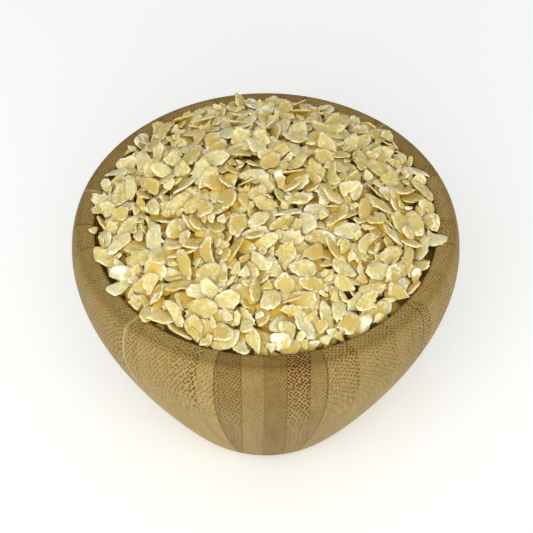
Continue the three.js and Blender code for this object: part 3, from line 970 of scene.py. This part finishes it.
def flake_material():
    """Horny cream starch, cloudy inside, with a paler uneven rim; some flakes are chalk white in
    the belly, some ochre. Painted shade turns what lies deep between its neighbours golden brown."""
    material, tree = new_material("rice_flakes")
    own = read_attribute(tree, "own")
    tone, chalk, nearness = split(tree, read_attribute(tree, "grain"))
    sunk = split(tree, read_attribute(tree, "lie"))[0]
    mottle = noise(tree, own, MOTTLE_SCALE, MOTTLE_DETAIL)
    specks = noise(tree, own, SPECK_SCALE, SPECK_DETAIL)
    creases = noise(tree, scaled(tree, own, CREASE_WAVES), 1.0, CREASE_DETAIL)

    mottled = sway(tree, tone, mottle, MOTTLE_WEIGHT, middle=MOTTLE_MIDDLE)
    mottled = sway(tree, mottled, creases, CREASE_WEIGHT)
    mottled = sway(tree, mottled, specks, SPECK_WEIGHT, clamp=True)
    colour = blend_colours(tree, mottled, FLAKE_GOLD, FLAKE_CREAM)
    grey = product(tree, fade(tree, tone, *GREY_TONES), fade(tree, creases, *GREY_CREASES))
    colour = blend_colours(tree, grey, colour, FLAKE_GREY)
    ochre = product(tree, fade(tree, tone, *OCHRE_TONES), fade(tree, mottle, *OCHRE_PATCHES))
    colour = blend_colours(tree, product(tree, ochre, OCHRE_WEIGHT), colour, FLAKE_OCHRE)
    rim = fade(tree, sway(tree, nearness, specks, RIM_SPECKS), *RIM_FADE)
    rim = product(tree, rim, fade(tree, chalk, *RIM_CHALK, LEAST_CHALK_RIM, 1.0))
    rim = product(tree, rim, fade(tree, mottle, *RIM_PATCHES, LEAST_PATCH_RIM, 1.0))
    colour = blend_colours(tree, rim, colour, FLAKE_RIM)
    belly = product(tree, fade(tree, chalk, *BELLY_CHALK), fade(tree, mottle, *BELLY_PATCHES))
    colour = blend_colours(tree, belly, colour, FLAKE_CHALK)
    # Painted glow on the undersides and the lower parts of the edges.
    underside = fade(tree, nearness, *UNDERSIDE_FADE)
    colour = blend_colours(tree, underside, colour, UNDERSIDE_PAINTED_GLOW)
    # Painted shade, stronger deeper in the heap.
    shade = fade(tree, sunk, *SHADE_DEPTHS, 0.0, SHADE_WEIGHT)
    colour = blend_colours(tree, shade, colour, DEEP_PAINTED_SHADE)

    relief = maths(tree, "MULTIPLY_ADD", specks, FINE_RELIEF, mottle)
    relief = maths(tree, "MULTIPLY_ADD", creases, FINE_RELIEF, relief)
    inputs = {"Height": relief, "Distance": FLAKE_RELIEF, "Strength": FLAKE_RELIEF_STRENGTH}
    bump = add_node(tree, "Bump", inputs)
    looks = {
        "Base Color": colour,
        "Roughness": FLAKE_ROUGHNESS,
        "Normal": bump.outputs[0],
        "Specular IOR Level": FLAKE_SHINE,
        "Subsurface Weight": 1.0,
        "Subsurface Radius": GLOW_COLOURS,
        "Subsurface Scale": GLOW_REACH,
    }
    finish_surface(tree, looks, subsurface_method="BURLEY")
    return material


rice = flake_material()
for name, kind in KINDS.items():
    flakes = flake_mesh(name, kind, places[name])
    flakes.data.materials.append(rice)
    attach(flakes, "root")
    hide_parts("rice_flakes")


# ---- Floor, light and camera ---------------------------------------------------------------------
# A pale studio floor in even light from all round, one large soft lamp in front and a little to
# the left, which the camera doesn't see, and a camera that looks down on the bowl's front.

FLOOR_HALF = 3.0
FLOOR_DROP = 0.1 * MM
FLOOR_WHITE = srgb(250, 250, 248)
FLOOR_ROUGHNESS = 0.9
FLOOR_GLOW = 0.17
WHITE = (1.0, 1.0, 1.0, 1.0)
floor_corners = [
    (FLOOR_HALF * x, FLOOR_HALF * y, -FLOOR_DROP) for x, y in ((-1, -1), (1, -1), (1, 1), (-1, 1))
]
floor = new_piece("floor", floor_corners, [(0, 1, 2, 3)])
floor_material, floor_tree = new_material("floor")
floor_looks = {
    "Base Color": FLOOR_WHITE,
    "Roughness": FLOOR_ROUGHNESS,
    "Emission Color": WHITE,
    "Emission Strength": FLOOR_GLOW,
}
finish_surface(floor_tree, floor_looks)
floor.data.materials.append(floor_material)

ROOM_LIGHT = 0.54
world = bpy.data.worlds.new("studio")
bpy.context.scene.world = world
world.use_nodes = True
world.node_tree.nodes["Background"].inputs["Color"].default_value = WHITE
world.node_tree.nodes["Background"].inputs["Strength"].default_value = ROOM_LIGHT

LAMP_AZIMUTH = np.radians(-6)
LAMP_ELEVATION = np.radians(37)
LAMP_DISTANCE = 0.9
LAMP_SIZE = 1.0
LAMP_POWER = 7.7
LAMP_COLOUR = (0.96, 0.99, 1.0)
lamp = bpy.data.lights.new("front_light", "AREA")
lamp.size = LAMP_SIZE
lamp.energy = LAMP_POWER
lamp.color = LAMP_COLOUR
light = bpy.data.objects.new("front_light", lamp)
light.visible_camera = False
bpy.context.scene.collection.objects.link(light)
light.location = (
    LAMP_DISTANCE * np.sin(LAMP_AZIMUTH) * np.cos(LAMP_ELEVATION),
    -LAMP_DISTANCE * np.cos(LAMP_AZIMUTH) * np.cos(LAMP_ELEVATION),
    BOWL_HEIGHT + LAMP_DISTANCE * np.sin(LAMP_ELEVATION),
)
light.rotation_euler = (np.pi / 2 - LAMP_ELEVATION, 0, LAMP_AZIMUTH)

CAMERA_DISTANCE = 0.480
CAMERA_ELEVATION = np.radians(46.9)
CAMERA_DIP = np.radians(1.7)
CAMERA_LENS = 105.8
CAMERA_SENSOR = 36.0
CAMERA_SHIFT = 0.0015
CAMERA_NEAR = 0.01
camera_data = bpy.data.cameras.new("camera")
camera_data.sensor_width = CAMERA_SENSOR
camera_data.lens = CAMERA_LENS
camera_data.clip_start = CAMERA_NEAR
camera_data.shift_x = CAMERA_SHIFT
camera = bpy.data.objects.new("camera", camera_data)
bpy.context.scene.collection.objects.link(camera)
camera.location = (
    0.0,
    -CAMERA_DISTANCE * np.cos(CAMERA_ELEVATION),
    BOWL_HEIGHT + CAMERA_DISTANCE * np.sin(CAMERA_ELEVATION),
)
camera.rotation_euler = (np.pi / 2 - CAMERA_ELEVATION - CAMERA_DIP, 0.0, 0.0)
bpy.context.scene.camera = camera
bpy.context.scene.view_settings.view_transform = "Standard"
